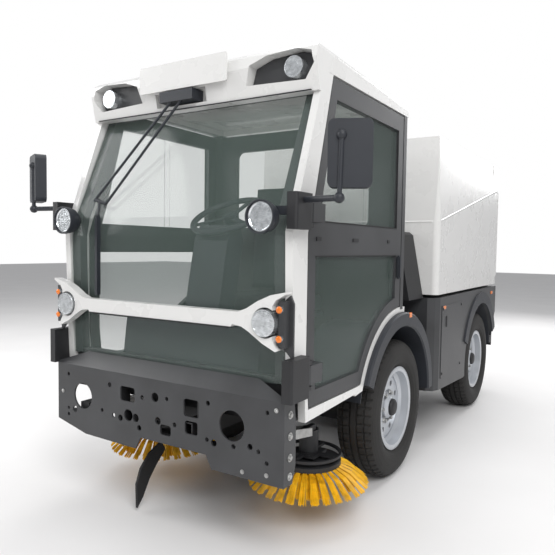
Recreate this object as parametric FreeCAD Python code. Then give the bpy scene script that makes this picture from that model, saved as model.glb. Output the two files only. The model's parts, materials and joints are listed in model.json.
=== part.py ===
"""Compact street sweeper: a narrow municipal vehicle with a glazed cab over its front axle, a perforated
tool plate below the windscreen, two side brushes on lifting arms, a suction nozzle between the axles
and a tipping waste hopper behind the cab.

Frame: millimetres, +Z up, the vehicle faces -Y and its left side is +X.  Every piece is drawn with
Y measured rearwards from the front axle.  save() moves it so that the origin is on the ground, under
the middle of the whole vehicle.
"""
import FreeCAD, Part
import math
import os

from FreeCAD import Vector

# ---------------------------------------------------------------- driving dimensions
LENGTH = 3480.0                 # front of the work lamps to the back of the bumper
LAMP_REACH = 1215.0             # front of the work lamps, ahead of the front axle
REAR_END = LENGTH - LAMP_REACH
TOW_PIN_Y = REAR_END - 24
WHEELBASE = 1690.0

TYRE_R = 364.0
TYRE_HALF = 108.0
RIM_BEAD_R = 203.0
BEAD_HALF = 80.0                # half the distance between the tyre's beads
WHEEL_X = 530.0                 # middle plane of the tyres
KINGPIN_X = 455.0
SPINDLE_R = 30.0
PIN_GAP = 0.05                  # radial clearance of every pin in its bore
CLEAR = 6.0                     # between pieces that move past each other

BODY_HALF = 650.0
SIDE = (600.0, 632.0)           # inner and outer face of the cab's side frames
DOOR = (601.0, 631.0)           # inner and outer face of the doors
DOOR_OUTLINE = [(-828, 1893), (-965, 1400), (-1010, 1270), (-1010, 800), (-985, 592), (-32, 592), (-32, 1893)]
PILLAR_EDGE = [(-903, 1902), (-1080, 1410), (-1128, 1270), (-1114, 795), (-1108, 668), (-1022, 650), (-1012, 540)]
WAIST_Z = (1180.0, 1318.0)
HINGE = (650.0, -1030.0)        # axis of the doors: x, y
HINGE_Z = (1345.0, 732.0)       # middle of the upper and lower door hinge

GLASS_T = 6.0
SCREEN_EDGE = [(-890, 1840), (-1070, 1410), (-1104, 1335), (-1119, 1255), (-1119, 1160), (-1105, 700)]

ARCH = (-10.0, 375.0)           # centre of the front wheel arch: y, z
ARCH_R = 430.0
FLARE_R = 505.0
STRIP_R = 534.0                 # outside of the painted strip round the flare
DOOR_ARCH_R = 540.0
REAR_ARCH = (WHEELBASE, 375.0)
HOUSE_IN = 236.0                # inner wall of the front wheelhouses

FLOOR_Z = (540.0, 556.0)
CAB_REAR = (-24.0, 0.0)
ROOF_Z = 1903.0

PLATE_Y = -1170.0               # front face of the tool plate
PLATE_T = 8.0
PLATE_HALF = 635.0
PLATE_Z = (336.0, 653.0)
TOOL_HOLES = (560.0, 95.0)      # half the width and half the height of the tool bolt pattern
TOOL_HOLES_Z = 510.0
TOOL_HOLE_R = 8.5

HEADLAMP = (552.0, 938.0)       # x, z
WORK_LAMP = (542.0, 1322.0)
ROOF_LAMP = (521.0, 1918.0)
MIRROR = (850.0, -1120.0, 1533.0)

RAIL_X = (135.0, 195.0)
RAIL_Z = (425.0, 500.0)

DECK_Z = (896.0, 915.0)
BODY_Y = (562.0, 2205.0)
BODY_BOTTOM = 335.0
PANEL_T = 20.0

HOPPER_Y = (560.0, 2160.0)
HOPPER_Z = (935.0, 1900.0)
CREASE = ((560.0, 1385.0), (2160.0, 1716.0))    # pressed line on the hopper's side: y, z
HOPPER_LEAN = 1.6               # degrees by which the sides lean in above the pressed line
TIP_PIVOT = (2175.0, 965.0)     # y, z
TAIL_HINGE = (2203.0, 1872.0)
DUCT = (0.0, 690.0)             # x, y of the suction duct
DUCT_R = 90.0

SWING = (470.0, -1062.0)        # x, y of the brush arms' swing pin
LIFT = (-1000.0, 430.0)         # y, z of the lift pin
HEAD = (-730.0, 400.0)          # y, z of the head's pin
HUB = (447.0, -650.0)           # x, y of the brush
BRUSH_R = 280.0
BRUSH_TIP_Z = 150.0
DISC_Z = (244.0, 262.0)


# ---------------------------------------------------------------- helpers
def box(x, y, z):
    """Box from three (low, high) pairs."""
    return Part.makeBox(x[1] - x[0], y[1] - y[0], z[1] - z[0], Vector(x[0], y[0], z[0]))


def prism(corners, push):
    """Flat outline pushed along a vector."""
    return Part.Face(Part.makePolygon(corners + [corners[0]])).extrude(push)


def side_prism(points, x):
    """Outline in (y, z), pushed from x[0] to x[1]."""
    return prism([Vector(x[0], y, z) for y, z in points], Vector(x[1] - x[0], 0, 0))


def front_prism(points, y):
    """Outline in (x, z), pushed from y[0] to y[1]."""
    return prism([Vector(x, y[0], z) for x, z in points], Vector(0, y[1] - y[0], 0))


def plan_prism(points, z):
    """Outline in (x, y), pushed from z[0] to z[1]."""
    return prism([Vector(x, y, z[0]) for x, y in points], Vector(0, 0, z[1] - z[0]))


def rod(start, end, radius):
    """Round bar between two points."""
    run = Vector(*end) - Vector(*start)
    return Part.makeCylinder(radius, run.Length, Vector(*start), run)


def disc_x(centre, radius, x):
    """Cylinder about an X axis through centre (y, z)."""
    return rod((x[0], *centre), (x[1], *centre), radius)


def disc_y(centre, radius, y):
    """Cylinder about a Y axis through centre (x, z)."""
    return rod((centre[0], y[0], centre[1]), (centre[0], y[1], centre[1]), radius)


def disc_z(centre, radius, z):
    """Cylinder about a Z axis through centre (x, y)."""
    return rod((*centre, z[0]), (*centre, z[1]), radius)


def arch(centre, r_in, r_out, x, start, end):
    """Ring about an X axis from one angle to another: 0 is ahead, 90 is up and 180 is behind."""
    ring = disc_x(centre, r_out, x).cut(disc_x(centre, r_in, (x[0] - 1, x[1] + 1)))
    angles = [math.radians(start + (end - start) * i / 8) for i in range(9)]
    rim = [(centre[0] - 2 * r_out * math.cos(a), centre[1] + 2 * r_out * math.sin(a)) for a in angles]
    return ring.common(side_prism([centre] + rim, x))


def turned_x(profile, centre):
    """Solid of revolution about the X axis through centre (x, y, z); profile holds (x, radius) points."""
    loop = [Vector(x, 0, r) for x, r in profile]
    solid = Part.Face(Part.makePolygon(loop + [loop[0]])).revolve(Vector(0, 0, 0), Vector(1, 0, 0), 360)
    solid.translate(Vector(*centre))
    return solid


def turned_z(profile, centre):
    """Solid of revolution about the Z axis through centre (x, y); profile holds (radius, z) points."""
    loop = [Vector(r, 0, z) for r, z in profile]
    solid = Part.Face(Part.makePolygon(loop + [loop[0]])).revolve(Vector(0, 0, 0), Vector(0, 0, 1), 360)
    solid.translate(Vector(centre[0], centre[1], 0))
    return solid


def fuse(first, *rest):
    """One solid from several that touch."""
    return first.fuse(list(rest)).removeSplitter()


def group(*shapes):
    """Separate solids that share a node."""
    return Part.makeCompound([solid for shape in shapes for solid in shape.Solids])


def mirrored(shape):
    """The same piece on the other side."""
    return shape.mirror(Vector(0, 0, 0), Vector(1, 0, 0))


def both(shape):
    """A left-hand piece and its mirror image, as separate solids."""
    return group(shape, mirrored(shape))


def rounded(shape, radius, along, picks):
    """Rounds the straight edges along one axis whose middle point picks(point) accepts."""
    edges = []
    for edge in shape.Edges:
        if not isinstance(edge.Curve, Part.Line):
            continue
        run = edge.tangentAt(edge.FirstParameter)
        if abs(abs(getattr(run, along)) - 1) < 1e-4 and picks(edge.CenterOfMass):
            edges.append(edge)
    return shape.makeFillet(radius, edges)


def everywhere(_point):
    return True


def save(name, shape):
    """Moves a piece into the vehicle's frame and writes it."""
    placed = shape.copy()
    placed.translate(Vector(0, LAMP_REACH - LENGTH / 2, 0))
    placed.exportStep("parts/" + name + ".step")


# ---------------------------------------------------------------- wheels, axles and knuckles
def tyre(x, y):
    side = [
        (BEAD_HALF - 14, RIM_BEAD_R + 0.5), (BEAD_HALF - 0.5, RIM_BEAD_R + 0.5), (BEAD_HALF - 0.5, 222),
        (BEAD_HALF + 1, 228), (100, 246),
        (107, 270), (TYRE_HALF, 292), (104, 318), (96, 338), (82, 353), (62, 361), (34, TYRE_R),
    ]
    return turned_x(side + [(-px, r) for px, r in reversed(side)], (x, y, TYRE_R))


def rim(side, y):
    """Pressed steel rim, disc and hub, with the hub's blind bore on the spindle; side is 1 left, -1 right."""
    barrel = [
        (BEAD_HALF, RIM_BEAD_R), (BEAD_HALF, 219), (BEAD_HALF + 7, 221), (BEAD_HALF + 9, 212), (BEAD_HALF + 5, 196),
        (44, 192), (30, 174), (-30, 174), (-50, 196), (-BEAD_HALF - 5, 196), (-BEAD_HALF - 9, 212),
        (-BEAD_HALF - 7, 221), (-BEAD_HALF, 219), (-BEAD_HALF, RIM_BEAD_R), (-46, RIM_BEAD_R), (-32, 182),
        (32, 182), (46, RIM_BEAD_R),
    ]
    dish = [(16, 175), (26, 150), (26, 96), (12, 84), (12, 60), (20, 60), (20, 80), (34, 92), (34, 154), (24, 176)]
    hub = [(-44, 66), (44, 62), (62, 44), (62, 0), (28, 0), (28, SPINDLE_R + PIN_GAP), (-44, SPINDLE_R + PIN_GAP)]
    wheel = fuse(turned_x(barrel, (0, 0, 0)), turned_x(dish, (0, 0, 0)), turned_x(hub, (0, 0, 0)))
    for i in range(8):
        a = math.radians(45 * i + 22.5)
        hand_hole = disc_x((126 * math.cos(a), 126 * math.sin(a)), 15, (0, 50))
        wheel = wheel.cut(hand_hole)
    if side < 0:
        wheel = mirrored(wheel)
    wheel.translate(Vector(side * WHEEL_X, y, TYRE_R))
    return wheel


def knuckle():
    """Left steering knuckle: kingpin, upright and spindle."""
    upright = box((432, 478), (-34, 34), (TYRE_R - 56, TYRE_R + 56))
    kingpin = disc_z((KINGPIN_X, 0), 16, (TYRE_R - 84, TYRE_R + 84))
    spindle = disc_x((0, TYRE_R), SPINDLE_R, (470, 552))
    steering_arm = box((440, 470), (30, 120), (TYRE_R - 52, TYRE_R - 36))
    return fuse(upright, kingpin, spindle, steering_arm)


def front_axle_beam():
    """Beam with a fork at each end for the kingpins."""
    fork_foot = (395, 412)
    beam = box((-fork_foot[0], fork_foot[0]), (-38, 38), (TYRE_R - 34, TYRE_R + 34))
    for side in (1, -1):
        back = box((fork_foot[0] - 6, fork_foot[1]), (-38, 38), (TYRE_R - 80, TYRE_R + 80))
        lugs = []
        for low in (TYRE_R - 80, TYRE_R + 62):
            lug = fuse(box((fork_foot[1] - 4, KINGPIN_X), (-30, 30), (low, low + 18)),
                       disc_z((KINGPIN_X, 0), 30, (low, low + 18)))
            lugs.append(lug.cut(disc_z((KINGPIN_X, 0), 16 + PIN_GAP, (low - 1, low + 19))))
        fork = fuse(back, *lugs)
        beam = fuse(beam, fork if side > 0 else mirrored(fork))
    return beam


def rear_axle_beam():
    """Rigid drive axle with its differential bowl and the two spindles."""
    beam = box((-480, 480), (WHEELBASE - 40, WHEELBASE + 40), (TYRE_R - 40, TYRE_R + 36))
    bowl = turned_x([(-120, 0), (-110, 70), (-50, 118), (50, 118), (110, 70), (120, 0)], (0, WHEELBASE, TYRE_R))
    spindles = [disc_x((WHEELBASE, TYRE_R), SPINDLE_R, pair) for pair in ((470, 552), (-552, -470))]
    return fuse(beam, bowl, *spindles)


def leaf_springs():
    """Four leaf packs, each under a rail and on its axle."""
    packs = []
    for axle in (0.0, WHEELBASE):
        seat = TYRE_R + (34 if axle == 0.0 else 36)
        pack = side_prism([
            (axle - 300, RAIL_Z[0]), (axle - 300, RAIL_Z[0] - 14), (axle - 60, seat), (axle + 60, seat),
            (axle + 300, RAIL_Z[0] - 14), (axle + 300, RAIL_Z[0]), (axle + 270, RAIL_Z[0]), (axle + 70, seat + 20),
            (axle - 70, seat + 20), (axle - 270, RAIL_Z[0]),
        ], (RAIL_X[0], RAIL_X[1]))
        packs += [pack, mirrored(pack)]
    return group(*packs)


# ---------------------------------------------------------------- chassis and lower body
def chassis_rails():
    rail = box(RAIL_X, (PLATE_Y + PLATE_T, BODY_Y[1] - 25), RAIL_Z)
    hollow = box((RAIL_X[0] + 6, RAIL_X[1] - 6), (PLATE_Y, BODY_Y[1]), (RAIL_Z[0] + 6, RAIL_Z[1] - 6))
    return fuse(both(rail.cut(hollow)), leaf_springs())


def cross_members():
    """Members between the rails, the outriggers under the deck and the posts that carry the deck."""
    members = []
    for y in (-900, -430, 430, 545, 1230, 2155):
        members.append(box((-RAIL_X[0], RAIL_X[0]), (y - 25, y + 25), (RAIL_Z[0] + 5, RAIL_Z[1] - 5)))
    for y in (900, 2155):
        outrigger = box((RAIL_X[1], BODY_HALF - PANEL_T), (y - 25, y + 25), (RAIL_Z[0] + 8, RAIL_Z[1] - 8))
        members += [outrigger, mirrored(outrigger)]
    for y in (640, 1560, 2080):
        post = box((RAIL_X[0] + 8, RAIL_X[1] - 8), (y - 22, y + 22), (RAIL_Z[1], DECK_Z[0]))
        members += [post, mirrored(post)]
    for y in (-1000, -520, -60):
        mount = box((RAIL_X[0], RAIL_X[1]), (y - 30, y + 30), (RAIL_Z[1], FLOOR_Z[0]))
        members += [mount, mirrored(mount)]
    return group(*members)


def brush_beam():
    """Beam behind the tool plate with two pairs of lugs for the brush arms' swing pins."""
    beam = box((-590, 590), (-1150, -1105), (380, 425))
    lugs = []
    for z in ((380, 394), (466, 480)):
        lug = fuse(box((SWING[0] - 28, SWING[0] + 28), (-1150, SWING[1]), z), disc_z(SWING, 28, z))
        lugs.append(lug.cut(disc_z(SWING, 14 + PIN_GAP, (z[0] - 1, z[1] + 1))))
    cheek = box((SWING[0] - 28, SWING[0] + 28), (-1150, -1105), (425, 480))
    end = fuse(cheek, *lugs)
    return fuse(beam, end, mirrored(end))


def deck():
    """Floor under the hopper, with the hole for the suction duct."""
    plate = box((-BODY_HALF + PANEL_T, BODY_HALF - PANEL_T), (BODY_Y[0] + PANEL_T, BODY_Y[1] - PANEL_T), DECK_Z)
    return plate.cut(disc_z(DUCT, DUCT_R + 1, (DECK_Z[0] - 1, DECK_Z[1] + 1)))


def side_panel():
    """Left side of the lower body, cut round the rear wheel, its front corner chamfered back to the front wall."""
    outline = [(BODY_Y[0] + 70, DECK_Z[1]), (BODY_Y[0] + 70, BODY_BOTTOM), (1230, 306), (2010, 420), (2080, 520),
               (BODY_Y[1], 700), (BODY_Y[1], DECK_Z[1])]
    flank = side_prism(outline, (BODY_HALF - PANEL_T, BODY_HALF))
    flank = flank.cut(disc_x(REAR_ARCH, ARCH_R, (0, BODY_HALF + 1)))
    corner = plan_prism([
        (BODY_HALF, BODY_Y[0] + 70), (BODY_HALF - 18, BODY_Y[0] + 26), (BODY_HALF - 60, BODY_Y[0]),
        (330, BODY_Y[0]), (330, BODY_Y[0] + PANEL_T), (BODY_HALF - 70, BODY_Y[0] + PANEL_T),
        (BODY_HALF - 36, BODY_Y[0] + 40), (BODY_HALF - PANEL_T, BODY_Y[0] + 70),
    ], (BODY_BOTTOM, DECK_Z[1]))
    return flank, corner


def side_hatch():
    """Left service hatch, standing proud of the side panel."""
    return box((BODY_HALF, BODY_HALF + 4), (668, 1130), (400, 862))


def rear_wheelhouse():
    roof = arch(REAR_ARCH, ARCH_R, ARCH_R + 8, (400, BODY_HALF - PANEL_T), 8, 172)
    wall = disc_x(REAR_ARCH, ARCH_R + 8, (392, 400)).common(box((380, 410), (0, 3000), (RAIL_Z[1], 2000)))
    return fuse(roof, wall)


def rear_flare():
    """Left rear wheel flare: a broad lip whose rear end runs down behind the wheel."""
    return arch(REAR_ARCH, ARCH_R, ARCH_R + 84, (BODY_HALF, BODY_HALF + 12), 22, 158)


def rear_panel():
    """Louvred panel that closes the lower body at the back."""
    panel = box((-BODY_HALF + PANEL_T, BODY_HALF - PANEL_T), (BODY_Y[1] - PANEL_T, BODY_Y[1]), (500, DECK_Z[1]))
    for i in range(9):
        z = 600 + 28 * i
        panel = panel.cut(box((-330, 330), (BODY_Y[1] - PANEL_T - 1, BODY_Y[1] + 1), (z, z + 12)))
    return panel


def rear_bumper():
    """Bent bumper with its two rail brackets and, in its middle, a jaw open to the rear for a tow eye."""
    y = (BODY_Y[1] + 20, REAR_END)
    beam = box((-620, 620), y, (400, 500))
    beam = rounded(beam, 18, "z", lambda p: p.y > y[1] - 1)
    brackets = []
    for side in (1, -1):
        x = sorted((side * RAIL_X[0], side * RAIL_X[1]))
        brackets.append(box(x, (BODY_Y[1] - 25, y[0] + 1), (RAIL_Z[0], RAIL_Z[1])))
    block = box((-60, 60), (BODY_Y[1] + 2, y[0] + 1), (400, 500))
    bumper = fuse(beam, block, *brackets)
    bumper = bumper.cut(box((-45, 45), (y[0] - 6, y[1] + 1), (450, 486)))
    return bumper.cut(disc_z((0, TOW_PIN_Y), 12.5, (390, 510)))


def tail_lamps():
    lamp = box((470, 610), (BODY_Y[1], BODY_Y[1] + 26), (620, 700))
    return both(rounded(lamp, 10, "y", everywhere))


def engine_block():
    return box((-290, 290), (900, 1480), (510, 880))


def suction_nozzle():
    """Nozzle box between the axles with its neck, carried under the rails."""
    shell = front_prism([(-430, 75), (430, 75), (430, 150), (330, 215), (-330, 215), (-430, 150)], (500, 860))
    inside = front_prism([(-415, 60), (415, 60), (415, 142), (322, 200), (-322, 200), (-415, 142)], (515, 845))
    neck = disc_z(DUCT, DUCT_R, (200, 300)).cut(disc_z(DUCT, DUCT_R - 8, (190, 301)))
    shell = shell.cut(inside).cut(disc_z(DUCT, DUCT_R - 8, (190, 301)))
    return fuse(shell, neck)


def nozzle_hangers():
    hanger = box((RAIL_X[0] + 20, RAIL_X[1] - 20), (740, 760), (215, RAIL_Z[0]))
    return both(hanger)


def suction_duct():
    """Tube from the nozzle's neck through the deck to just under the hopper's floor."""
    tube = disc_z(DUCT, DUCT_R, (300, HOPPER_Z[0] - CLEAR))
    return tube.cut(disc_z(DUCT, DUCT_R - 8, (299, HOPPER_Z[0])))


def engine_cowl():
    """Black housing that fills the space between the cab and the hopper."""
    shell = front_prism([(-566, DECK_Z[1]), (566, DECK_Z[1]), (492, 1300), (470, 1318), (-470, 1318), (-492, 1300)],
                        (300, HOPPER_Y[0] - 10))
    inside = front_prism([(-550, 900), (550, 900), (478, 1290), (-478, 1290)], (312, HOPPER_Y[0]))
    shell = shell.cut(inside)
    for i in range(12):
        z = 960 + 26 * i
        shell = shell.cut(box((-400, 400), (290, 320), (z, z + 10)))
    foot = box((-325, 325), (300, BODY_Y[0] + PANEL_T), (DECK_Z[0], DECK_Z[1]))
    return fuse(shell, foot)


# ---------------------------------------------------------------- tool plate
def tool_plate():
    """Flame-cut front plate with a bent-back upper edge and bolted side flanges."""
    step_low = 389
    face = front_prism([
        (-PLATE_HALF, PLATE_Z[1]), (-PLATE_HALF, 385), (-440, 341), (-120, PLATE_Z[0]), (-90, step_low),
        (270, step_low), (300, PLATE_Z[0]), (PLATE_HALF, PLATE_Z[0]), (PLATE_HALF, PLATE_Z[1]),
    ], (PLATE_Y, PLATE_Y + PLATE_T))
    round_holes = [
        (-459, 515, 60), (397, 527, 60), (-281, 592, 11), (-5, 577, 20), (-80, 565, 10), (61, 580, 9),
        (280, 597, 10), (-514, 445, 15), (-163, 475, 26), (-118, 470, 18), (-256, 459, 10), (-212, 455, 14),
        (-97, 430, 12), (12, 480, 16), (105, 479, 10), (276, 451, 9), (311, 444, 14), (407, 449, 10),
        (484, 463, 12), (522, 452, 9), (-330, 470, 9), (-560, 445, 8),
    ]
    for x, z, radius in round_holes:
        face = face.cut(disc_y((x, z), radius, (PLATE_Y - 1, PLATE_Y + 20)))
    for x, z, w, h in [(-169, 566, 44, 32), (194, 562, 40, 36), (195, 482, 34, 27), (55, 447, 30, 22)]:
        window = box((x - w, x + w), (PLATE_Y - 1, PLATE_Y + 20), (z - h, z + h))
        face = face.cut(rounded(window, 12, "y", everywhere))
    for x in (-TOOL_HOLES[0], TOOL_HOLES[0]):
        for z in (TOOL_HOLES_Z - TOOL_HOLES[1], TOOL_HOLES_Z + TOOL_HOLES[1]):
            face = face.cut(disc_y((x, z), TOOL_HOLE_R, (PLATE_Y - 1, PLATE_Y + 20)))
    fold = side_prism([(PLATE_Y, 645), (PLATE_Y, 653), (-1112, 712), (-1106, 706), (PLATE_Y + 8, 645)],
                      (-PLATE_HALF, PLATE_HALF))
    outside_bevel = plan_prism([(PLATE_HALF + 1, PLATE_Y + 8), (PLATE_HALF + 1, -1090), (460, -1090),
                                (484, -1112)], (600, 760))
    fold = fold.cut(outside_bevel).cut(mirrored(outside_bevel))
    flange = side_prism([(PLATE_Y, PLATE_Z[0]), (PLATE_Y, PLATE_Z[1]), (-1100, 640), (-1088, 560), (-1088, 400),
                         (-1110, PLATE_Z[0])], (PLATE_HALF - 6, PLATE_HALF))
    far_cut = box((-700, -600), (PLATE_Y - 1, -1000), (300, 386))
    return fuse(face, fold, flange, mirrored(flange).cut(far_cut))


def plate_stays():
    """Stays between the tool plate and the brush beam."""
    stay = box((220, 236), (PLATE_Y + PLATE_T, -1105), (425, 600))
    foot = box((330, 560), (PLATE_Y + PLATE_T, -1150), (384, 421))
    return both(group(stay, foot))


def deflector_flap():
    """Curved rubber flap that hangs below the plate's middle."""
    curve = [(-1085, 20), (-1088, 130), (-1062, 195), (-1010, 250), (-930, 285), (-905, 240), (-960, 190),
             (-1010, 130), (-1050, 60)]
    return side_prism(curve, (-206, -194))


def cab_floor():
    """Floor pan, wide ahead of the wheels and narrow between the wheelhouses, with the front bulkhead."""
    pan = plan_prism([(-590, -1092), (590, -1092), (590, -462), (HOUSE_IN - 6, -462),
                      (HOUSE_IN - 6, CAB_REAR[1]), (6 - HOUSE_IN, CAB_REAR[1]), (6 - HOUSE_IN, -462), (-590, -462)], FLOOR_Z)
    bulkhead = box((-590, 590), (-1092, -1076), (FLOOR_Z[0], 694))
    return fuse(pan, bulkhead)


def front_wheelhouse():
    """Left wheelhouse: a half drum over the wheel, closed on its inner side."""
    roof = arch(ARCH, ARCH_R, ARCH_R + 6, (HOUSE_IN, SIDE[0]), 14, 176)
    wall = disc_x(ARCH, ARCH_R + 6, (HOUSE_IN - 6, HOUSE_IN)).common(box((200, 260), (-700, 700), (505, 2000)))
    lip = arch(ARCH, ARCH_R, ARCH_R + 40, (SIDE[0] - 12, SIDE[0]), 90, 176)
    return fuse(roof, wall, lip)


def front_flare():
    """Left front wheel flare: a rounded black lip that ends in a mudguard behind the wheel."""
    lip = arch(ARCH, ARCH_R, FLARE_R, (SIDE[1], SIDE[1] + 26), 24, 178)
    lip = lip.makeChamfer(8, [e for e in lip.Edges if abs(e.BoundBox.XMin - SIDE[1] - 26) < 0.1
                              and abs(e.BoundBox.XLength) < 0.1 and e.Length > 400])
    root = arch(ARCH, ARCH_R, FLARE_R, (SIDE[0], SIDE[1]), 24, 178)
    return fuse(lip, root)


def side_frame():
    """Left door aperture: front pillar, sill and the strip that follows the flare, one pressing."""
    x = SIDE
    outer = PILLAR_EDGE + [(-490, 560), (-480, 640), (40, 640), (40, 1000), (-32, 1000), (-32, 1902)]
    frame = side_prism(outer, x)
    grown = [(y - CLEAR, z) for y, z in DOOR_OUTLINE[:4]]
    opening = grown + [(-992, 586), (41, 586), (41, 1903), (-830, 1903)]
    frame = frame.cut(side_prism(opening, (x[0] - 1, x[1] + 1)))
    strip = arch(ARCH, FLARE_R + 0.5, STRIP_R, x, 22, 96)
    toe = side_prism([(-560, 548), (-482, 556), (-468, 590), (-560, 586)], x)
    frame = frame.cut(disc_x(ARCH, FLARE_R + 0.5, (x[0] - 1, x[1] + 1)))
    return fuse(frame, strip, toe.cut(disc_x(ARCH, FLARE_R + 0.5, (x[0] - 1, x[1] + 1))))


def rear_posts():
    post = box((560, SIDE[1]), (CAB_REAR[0], CAB_REAR[1] + 26), (895, ROOF_Z))
    return both(rounded(post, 10, "z", lambda p: p.x > SIDE[1] - 1 and p.y > CAB_REAR[1]))


def screen_frame():
    """Black inner pillars behind the glass, with the cross bars above and below it."""
    ahead = [(y + GLASS_T + 1, z) for y, z in SCREEN_EDGE]
    behind = [(y + 46, z) for y, z in reversed(SCREEN_EDGE)]
    pillar = side_prism(ahead + behind, (545, 598))
    top = box((-545, 545), (-880, -845), (1830, 1860))
    bottom = box((-545, 545), (-1094, -1062), (694, 722))
    return group(pillar, mirrored(pillar), top, bottom)


def windscreen():
    """Bent glass whose outline has a soft knee at the height of the waist."""
    back = [(SCREEN_EDGE[-1][0] + GLASS_T, SCREEN_EDGE[-1][1])]
    back += [(y + GLASS_T + 0.5, z) for y, z in reversed(SCREEN_EDGE[1:-1])]
    back.append((SCREEN_EDGE[0][0] + GLASS_T, SCREEN_EDGE[0][1]))
    return side_prism(SCREEN_EDGE + back, (-598, 598))


def cab_rear_wall():
    """Panel behind the driver, cut round the wheelhouses and the rear window."""
    wall = box((-559, 559), CAB_REAR, (FLOOR_Z[1], 1890))
    for side in (1, -1):
        x = sorted((side * (HOUSE_IN - 7), side * 600))
        wall = wall.cut(box(x, (-60, 60), (500, 820)))
    window = box((-440, 440), (-60, 60), (1330, 1790))
    return wall.cut(rounded(window, 40, "y", everywhere))


def rear_window():
    pane = box((-439.5, 439.5), (CAB_REAR[0] + 9, CAB_REAR[0] + 14), (1330.5, 1789.5))
    return rounded(pane, 40, "y", everywhere)


def cab_roof():
    """Roof moulding with the visor that carries the lamps: hollow below, pocketed at the front corners."""
    side = [(-948, 1818), (-972, 1940), (-966, 1982), (-940, 2002), (26, 1960), (34, 1948), (34, ROOF_Z),
            (-868, ROOF_Z), (-896, 1846), (-900, 1818)]
    roof = side_prism(side, (-SIDE[1], SIDE[1]))
    arris = [e for e in roof.Edges if isinstance(e.Curve, Part.Line) and e.Length > 900
             and abs(abs(e.CenterOfMass.x) - SIDE[1]) < 1 and e.CenterOfMass.z > 1970]
    roof = roof.makeFillet(26, arris)
    roof = roof.cut(box((-560, 560), (-850, -10), (ROOF_Z - 1, 1935)))
    pocket = front_prism([(296, 1872), (318, 1948), (400, 1976), (540, 1984), (606, 1966), (618, 1918), (575, 1862)],
                         (-1000, -905))
    roof = roof.cut(pocket).cut(mirrored(pocket))
    return roof.cut(box((-210, 82), (-1000, -925), (1838, 1898)))


def lamp_pockets():
    """Black liners of the two visor pockets."""
    outline = [(299, 1873), (321, 1946), (401, 1973), (540, 1981), (603, 1964), (615, 1918), (574, 1865)]
    liner = front_prism(outline, (-918, -906))
    return both(liner)


def roof_lamps():
    lamp = disc_y(ROOF_LAMP, 42, (-960, -918))
    return both(lamp)


def number_plate():
    """Blank plate across the visor."""
    plate = box((-280, 217), (-990, -984), (1900, 2018))
    back = box((-240, 180), (-984, -972), (1920, 1940))
    return fuse(rounded(plate, 8, "y", everywhere), back)


def lamp_bar():
    """Painted bar across the windscreen that widens into a crescent round each headlamp."""
    half = [(0, 970), (430, 971), (470, 986), (520, 1016), (575, 1040), (640, 1054), (640, 1046), (598, 1022),
            (584, 1000), (584, 878), (600, 852), (612, 843), (598, 836), (540, 862), (480, 900), (448, 916),
            (405, 922), (398, 912), (0, 912)]
    left = front_prism(half, (-1184, -1142))
    left = left.cut(disc_y(HEADLAMP, 57, (-1200, -1100)))
    return fuse(left, mirrored(left))


def lamp_panels():
    """Dark panel behind each headlamp, carried on the windscreen's side pillars."""
    panel = front_prism([(497, 938), (520, 986), (560, 1010), (598, 1008), (634, 1040), (648, 1010), (648, 800),
                         (620, 830), (560, 866), (515, 890)], (-1140, -1130))
    block = box((604, 632), (-1172, -1140), (850, 1020))
    return both(fuse(panel, block))


def headlamps():
    lamp = disc_y(HEADLAMP, 50, (-1196, -1140))
    markers = [disc_y((614, z), 13, (-1184, -1172)) for z in (990, 884)]
    return both(group(lamp, *markers))


def work_lamps():
    """Round lamps at mid height, each on a bracket from the upper hinge cover."""
    can = turned_y([(0, 0), (20, 0), (52, 30), (62, 60), (62, 82), (0, 82)], (WORK_LAMP[0], -1133, WORK_LAMP[1]))
    bracket = box((WORK_LAMP[0], SIDE[1]), (-1160, -1148), (WORK_LAMP[1] + 8, WORK_LAMP[1] + 40))
    return both(fuse(can, bracket))


def turned_y(profile, centre):
    """Solid of revolution about a Y axis; profile holds (radius, distance ahead of the centre) points."""
    loop = [Vector(r, -ahead, 0) for r, ahead in profile]
    solid = Part.Face(Part.makePolygon(loop + [loop[0]])).revolve(Vector(0, 0, 0), Vector(0, 1, 0), 360)
    solid.translate(Vector(*centre))
    return solid


def hinge_covers():
    """Left covers over the two hinge brackets; each carries a pin between two lugs."""
    covers = []
    for middle, half_height, front in ((HINGE_Z[0], 66, -1172), (HINGE_Z[1], 78, -1190)):
        cover = box((SIDE[1], 674), (front, -1052), (middle - half_height, middle + half_height))
        cover = rounded(cover, 12, "z", lambda p: p.x > 660)
        lugs = []
        for z in ((middle - 56, middle - 42), (middle + 42, middle + 56)):
            lug = fuse(box((636, 664), (-1056, HINGE[1]), z), disc_z(HINGE, 14, z))
            lugs.append(lug)
        pin = disc_z(HINGE, 6, (middle - 50, middle + 50))
        covers.append(fuse(cover, *lugs, pin))
    return group(*covers)


def door_frame():
    """Left door: one pressed frame with an upper and a lower window and the waist rail between them."""
    x = DOOR
    door = side_prism(DOOR_OUTLINE, x)
    door = door.cut(disc_x(ARCH, DOOR_ARCH_R, (x[0] - 1, x[1] + 1)))
    for window in (upper_window(), lower_window()):
        door = door.cut(window)
    arms = []
    for middle in HINGE_Z:
        z = (middle - 36, middle + 36)
        barrel = disc_z(HINGE, 14, z)
        reach = box((SIDE[1] + 5, HINGE[0] + 14), (HINGE[1], -940), z)
        root = box((x[1] - 1, HINGE[0] + 14), (-966, -940), z)
        arm = fuse(barrel, reach, root)
        arms.append(arm.cut(disc_z(HINGE, 6 + PIN_GAP, (z[0] - 1, z[1] + 1))))
    return fuse(door, *arms)


def upper_window():
    outline = [(-792, 1812), (-907, 1400), (-936, WAIST_Z[1]), (-100, WAIST_Z[1]), (-100, 1812)]
    return side_prism(outline, (DOOR[0] - 1, DOOR[1] + 1))


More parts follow.
